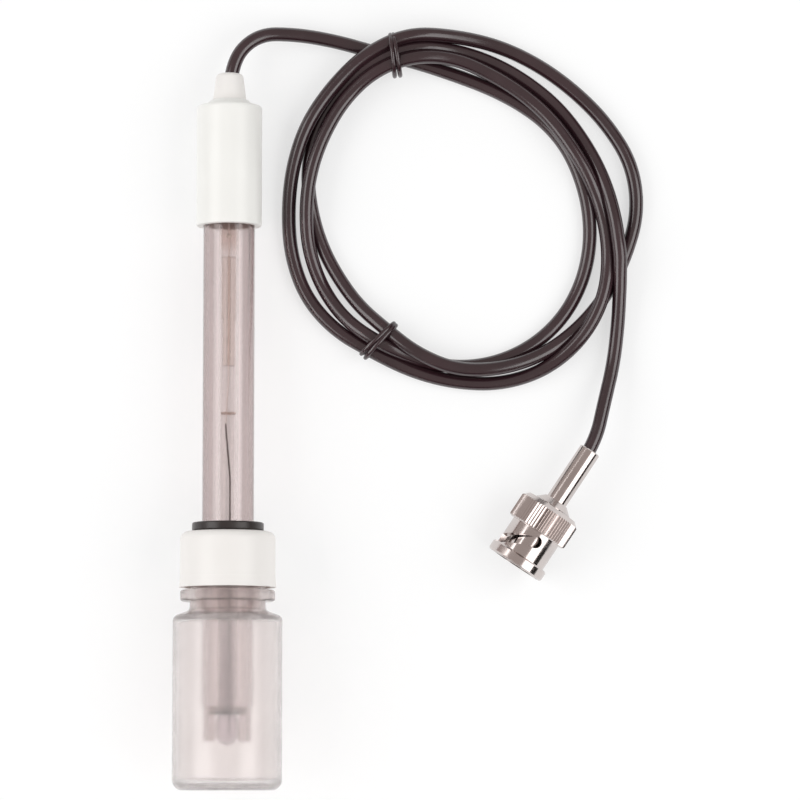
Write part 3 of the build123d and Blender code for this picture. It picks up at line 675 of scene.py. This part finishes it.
@dataclass
class Cable:
    """The coaxial cable from the boot to the plug, coiled and tied."""

    radius: float = 1.65 * MM
    length: float = 0.882
    steps_between_points: int = 10
    round_steps: int = 6
    exit: Point = (0.0, 0.0834, 0.00725)
    middle: tuple[float, float] = (52.7, 51.75)
    first_turn: float = -15.0
    step: float = 15.0
    lead: tuple[Point, ...] = (
        (0.0, 77.41, 7.50), (0.0, 85.9, 7.15), (6.2, 93.0, 5.9), (15.8, 93.1, 4.2),
        (25.3, 91.6, 2.6), (34.6, 88.9, 2.3),
    )
    turns: tuple[tuple[float, float], ...] = (
        (36.4, 2.4), (32.1, 1.8), (30.2, 1.65), (29.6, 1.65), (29.9, 1.65), (30.3, 1.65),
        (30.6, 1.65), (31.5, 1.65), (32.8, 1.65), (34.3, 1.65), (35.7, 1.65), (36.6, 1.65),
        (37.0, 1.65), (36.9, 1.65), (36.0, 2.2), (36.0, 4.9), (36.4, 2.8), (36.1, 1.65),
        (35.6, 3.3), (35.0, 5.1), (35.1, 5.1), (35.6, 4.8), (36.8, 4.9), (37.7, 6.2),
        (37.2, 7.6), (35.6, 5.6), (33.0, 4.6), (31.6, 4.3), (31.0, 4.6), (31.0, 4.7),
        (32.3, 4.2), (34.5, 2.4), (37.3, 3.3), (40.4, 5.2), (42.4, 4.6), (43.0, 2.3),
        (42.1, 1.65), (40.3, 1.65), (39.0, 1.65), (38.4, 2.6), (39.8, 1.9), (40.5, 1.65),
        (39.9, 1.65), (39.2, 2.1), (39.5, 3.3), (40.3, 4.4), (40.9, 5.0), (42.2, 6.2),
        (42.7, 7.2), (41.0, 4.2), (40.3, 1.9), (39.7, 1.65), (39.9, 1.65), (41.2, 1.65),
        (43.0, 1.65), (43.0, 1.65), (41.4, 1.65), (40.6, 1.65), (40.0, 1.8), (39.6, 3.1),
        (38.7, 4.7), (37.5, 5.2), (34.9, 5.3), (32.4, 4.5), (31.8, 2.4), (31.6, 1.65),
        (32.4, 1.65), (33.8, 1.65), (36.0, 1.65), (38.0, 1.65), (39.1, 2.5), (40.1, 5.0),
        (39.8, 6.0), (37.9, 2.9), (36.1, 1.7), (34.8, 1.65), (34.4, 1.65), (34.4, 1.7),
        (35.4, 2.7), (37.1, 4.6), (39.9, 5.7),
    )
    tail: tuple[Point, ...] = (
        (91.2, 37.6, 5.3), (91.2, 34.1, 4.2), (90.8, 25.3, 2.7), (89.7, 15.9, 3.1), (87.4, 6.6, 5.4),
        (85.17, -2.85, 7.5), (81.50, -8.34, 7.5),
    )
    ties: tuple[Tie, ...] = (
        Tie(
            "tie_upper", (0.0385, 0.0881, 0.0050), heading=math.radians(-82.0),
            half_width=4.9 * MM, half_height=4.5 * MM,
        ),
        Tie(
            "tie_lower", (0.0349, 0.0213, 0.0039), heading=math.radians(225.0),
            half_width=5.2 * MM, half_height=3.4 * MM,
        ),
    )
    plug_nodes: tuple[str, ...] = (
        "bnc_ferrule", "bnc_body", "bnc_retaining_ring", "bnc_insulator", "bnc_pin", "bnc_contact_sleeve",
        "bnc_gasket", "bnc_wave_washer", "bnc_thrust_washer", "bnc_coupling",
    )

    def route(self) -> list[Point]:
        """Puts the lead, the coil's turns and the tail in one row.

        Returns:
            The cable's control points in metres.
        """
        row = list(self.lead)
        for count, (reach, height) in enumerate(self.turns):
            angle = math.radians(self.first_turn + self.step * count)
            across = self.middle[0] + reach * math.sin(angle)
            along = self.middle[1] + reach * math.cos(angle)
            row.append((across, along, height))
        row.extend(self.tail)
        return [(x * MM, y * MM, z * MM) for x, y, z in row]

    def build(self, wardrobe: Wardrobe) -> bpy.types.Object:
        """Lays the cable and winds its ties.

        Args:
            wardrobe: the finishes.

        Returns:
            The cable's object.
        """
        curve = bpy.data.curves.new("cable", "CURVE")
        curve.dimensions = "3D"
        curve.resolution_u = self.steps_between_points
        curve.bevel_depth = self.radius
        curve.bevel_resolution = self.round_steps
        curve.use_fill_caps = True
        points = self.route()
        line = curve.splines.new("NURBS")
        line.points.add(len(points) - 1)
        for knot, place in zip(line.points, points):
            knot.co = (*place, 1.0)
        line.order_u = 3
        line.use_endpoint_u = True
        piece = bpy.data.objects.new("cable", curve)
        bpy.context.collection.objects.link(piece)
        curve.materials.append(wardrobe.made[Slot.CABLE_BLACK.value])
        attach(piece, "root")
        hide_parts("cable_lead", "cable_coil", "cable_tail")
        wires = [tie.build(Slot.CABLE_BLACK, wardrobe.made[Slot.CABLE_BLACK.value]) for tie in self.ties]
        return piece


@dataclass(frozen=True)
class Lamp:
    """A soft oblong lamp that faces the object.

    Its turn is from +X and its rise from the table's horizon, in degrees. Its size is in metres, and
    its glow is a radiance, where 1 is white.
    """

    name: str
    turn: float
    rise: float
    size: tuple[float, float]
    glow: float

    def hang(self, target: Vector, distance: float) -> bpy.types.Object:
        """Hangs the lamp.

        Args:
            target: what it faces.
            distance: how far from there it hangs, in metres.

        Returns:
            The lamp's object.
        """
        data = bpy.data.lights.new(self.name, "AREA")
        data.shape = "RECTANGLE"
        data.size, data.size_y = self.size
        data.energy = self.glow * math.pi * self.size[0] * self.size[1]
        lamp = bpy.data.objects.new(self.name, data)
        bpy.context.collection.objects.link(lamp)
        turn, rise = math.radians(self.turn), math.radians(self.rise)
        flat = distance * math.cos(rise)
        way = Vector((flat * math.cos(turn), flat * math.sin(turn), distance * math.sin(rise)))
        lamp.location = target + way
        lamp.rotation_euler = (-way).to_track_quat("-Z", "Y").to_euler()
        return lamp


@dataclass
class Studio:
    """The pale table, the soft light and the camera above them."""

    table_size: float = 3.0
    table_middle: Point = (0.04, 0.0, 0.0)
    table_colour: float = 0.40
    table_glow: float = 0.60
    table_bounce: float = 0.88
    sky: float = 0.52
    seen_sky: float = 0.90
    ceiling: Colour = (0.47, 0.415, 0.395)
    dark_side: Point = (0.829, -0.559, 0.0)
    dark_colour: Colour = (0.02, 0.017, 0.016)
    dark_top: tuple[float, float] = (0.38, 0.48)
    dark_edge: tuple[float, float] = (0.05, 0.35)
    target: Point = (0.03977, 0.00707, 0.008)
    camera_offset: Point = (0.0, -0.0487, 0.9287)
    focal_length: float = 180.0
    sensor_width: float = 36.0
    clip: tuple[float, float] = (0.01, 20.0)
    lamp_distance: float = 0.75
    lamps: tuple[Lamp, ...] = (
        Lamp("right_lamp", turn=-12.0, rise=45.0, size=(0.80, 0.52), glow=2.2),
        Lamp("left_lamp", turn=182.0, rise=37.0, size=(0.80, 0.48), glow=2.2),
    )

    def table(self) -> bpy.types.Object:
        """Makes the pale floor, which keeps the object's shadow.

        Returns:
            The floor's object.
        """
        deselect()
        bpy.ops.mesh.primitive_plane_add(size=self.table_size, location=self.table_middle)
        floor = bpy.context.object
        floor.name = "table"
        settle(floor)
        floor.data.materials.append(self.table_finish())
        return floor

    def table_finish(self) -> bpy.types.Material:
        """Makes a matt white that glows for the camera, mirrors and glass, and only bounces otherwise.

        Returns:
            The floor's material.
        """
        made = bpy.data.materials.new("pale_table")
        made.use_nodes = True
        sheet = Sheet(made.node_tree)
        rays = sheet.add("LightPath")
        base = sheet.add("BsdfDiffuse")
        tone = sheet.add("MapRange")
        sheet.put(tone, Value=rays.outputs["Is Diffuse Ray"])
        sheet.put(tone, To_Min=self.table_colour, To_Max=self.table_bounce)
        sheet.join(tone.outputs["Result"], base.inputs["Color"])
        seen = rays.outputs["Is Camera Ray"]
        for kind in ("Is Glossy Ray", "Is Transmission Ray"):
            either = sheet.add("Math", operation="MAXIMUM")
            sheet.join(seen, either.inputs[0])
            sheet.join(rays.outputs[kind], either.inputs[1])
            seen = either.outputs[0]
        power = sheet.add("Math", operation="MULTIPLY")
        sheet.join(seen, power.inputs[0])
        power.inputs[1].default_value = self.table_glow
        glow = sheet.add("Emission")
        sheet.put(glow, Color=(1.0, 1.0, 1.0, 1.0), Strength=power.outputs[0])
        both = sheet.add("AddShader")
        sheet.join(base.outputs[0], both.inputs[0])
        sheet.join(glow.outputs[0], both.inputs[1])
        sheet.join(both.outputs[0], sheet.add("OutputMaterial").inputs["Surface"])
        return made

    def light(self) -> None:
        """Lights the object from a pale sky and two lamps, with a dark gap at the horizon for the metal."""
        world = bpy.data.worlds.new("pale_sky")
        bpy.context.scene.world = world
        world.use_nodes = True
        sheet = Sheet(world.node_tree)
        sky = sheet.add("Background")
        sheet.put(sky, Color=(1.0, 1.0, 1.0, 1.0), Strength=self.sky)
        place = sheet.add("TexCoord").outputs["Generated"]
        parts = sheet.add("SeparateXYZ")
        sheet.join(place, parts.inputs[0])
        room = sheet.add("Background")
        side = sheet.add("VectorMath", operation="DOT_PRODUCT")
        sheet.join(place, side.inputs[0])
        side.inputs[1].default_value = self.dark_side
        pale = sheet.add("Math", operation="MAXIMUM")
        sheet.join(sheet.ramp(parts.outputs["Z"], *self.dark_top, 0.0, 1.0), pale.inputs[0])
        sheet.join(sheet.ramp(side.outputs["Value"], *self.dark_edge, 1.0, 0.0), pale.inputs[1])
        sheet.put(room, Color=sheet.blend(pale.outputs[0], self.dark_colour, self.ceiling), Strength=1.0)
        rays = sheet.add("LightPath")
        seen = sheet.add("MapRange")
        sheet.put(seen, To_Min=self.sky, To_Max=self.seen_sky)
        sheet.join(rays.outputs["Is Transmission Ray"], seen.inputs["Value"])
        sheet.join(seen.outputs["Result"], sky.inputs["Strength"])
        mix = sheet.add("MixShader")
        sheet.join(rays.outputs["Is Glossy Ray"], mix.inputs[0])
        sheet.join(sky.outputs[0], mix.inputs[1])
        sheet.join(room.outputs[0], mix.inputs[2])
        sheet.join(mix.outputs[0], sheet.add("OutputWorld").inputs["Surface"])
        for lamp in self.lamps:
            lamp.hang(Vector(self.target), self.lamp_distance)

    def camera(self) -> bpy.types.Object:
        """Sets the camera where the photograph was taken.

        Returns:
            The camera's object.
        """
        data = bpy.data.cameras.new("camera")
        data.sensor_width = self.sensor_width
        data.lens = self.focal_length
        data.clip_start, data.clip_end = self.clip
        eye = bpy.data.objects.new("camera", data)
        bpy.context.collection.objects.link(eye)
        aim = Vector(self.camera_offset)
        eye.location = Vector(self.target) + aim
        eye.rotation_euler = (-aim).to_track_quat("-Z", "Y").to_euler()
        bpy.context.scene.camera = eye
        bpy.context.scene.view_settings.view_transform = "Standard"
        return eye

    def build(self) -> None:
        """Sets up the table, the light and the camera."""
        self.table()
        self.light()
        self.camera()


def main() -> None:
    """Builds the studio and every sub-assembly in order, and reports each."""
    logging.basicConfig(level=logging.INFO, format="%(message)s")
    Studio().build()
    LOG.info("studio: table, light and camera")
    wardrobe = Wardrobe()
    wardrobe.fill()
    LOG.info("finishes: %d", len(wardrobe.made))
    LOG.info("nodes dressed: %d", wardrobe.dress_nodes())
    cable = Cable().build(wardrobe)
    LOG.info("cable: %s", cable.name)


if __name__ == "__main__":
    main()
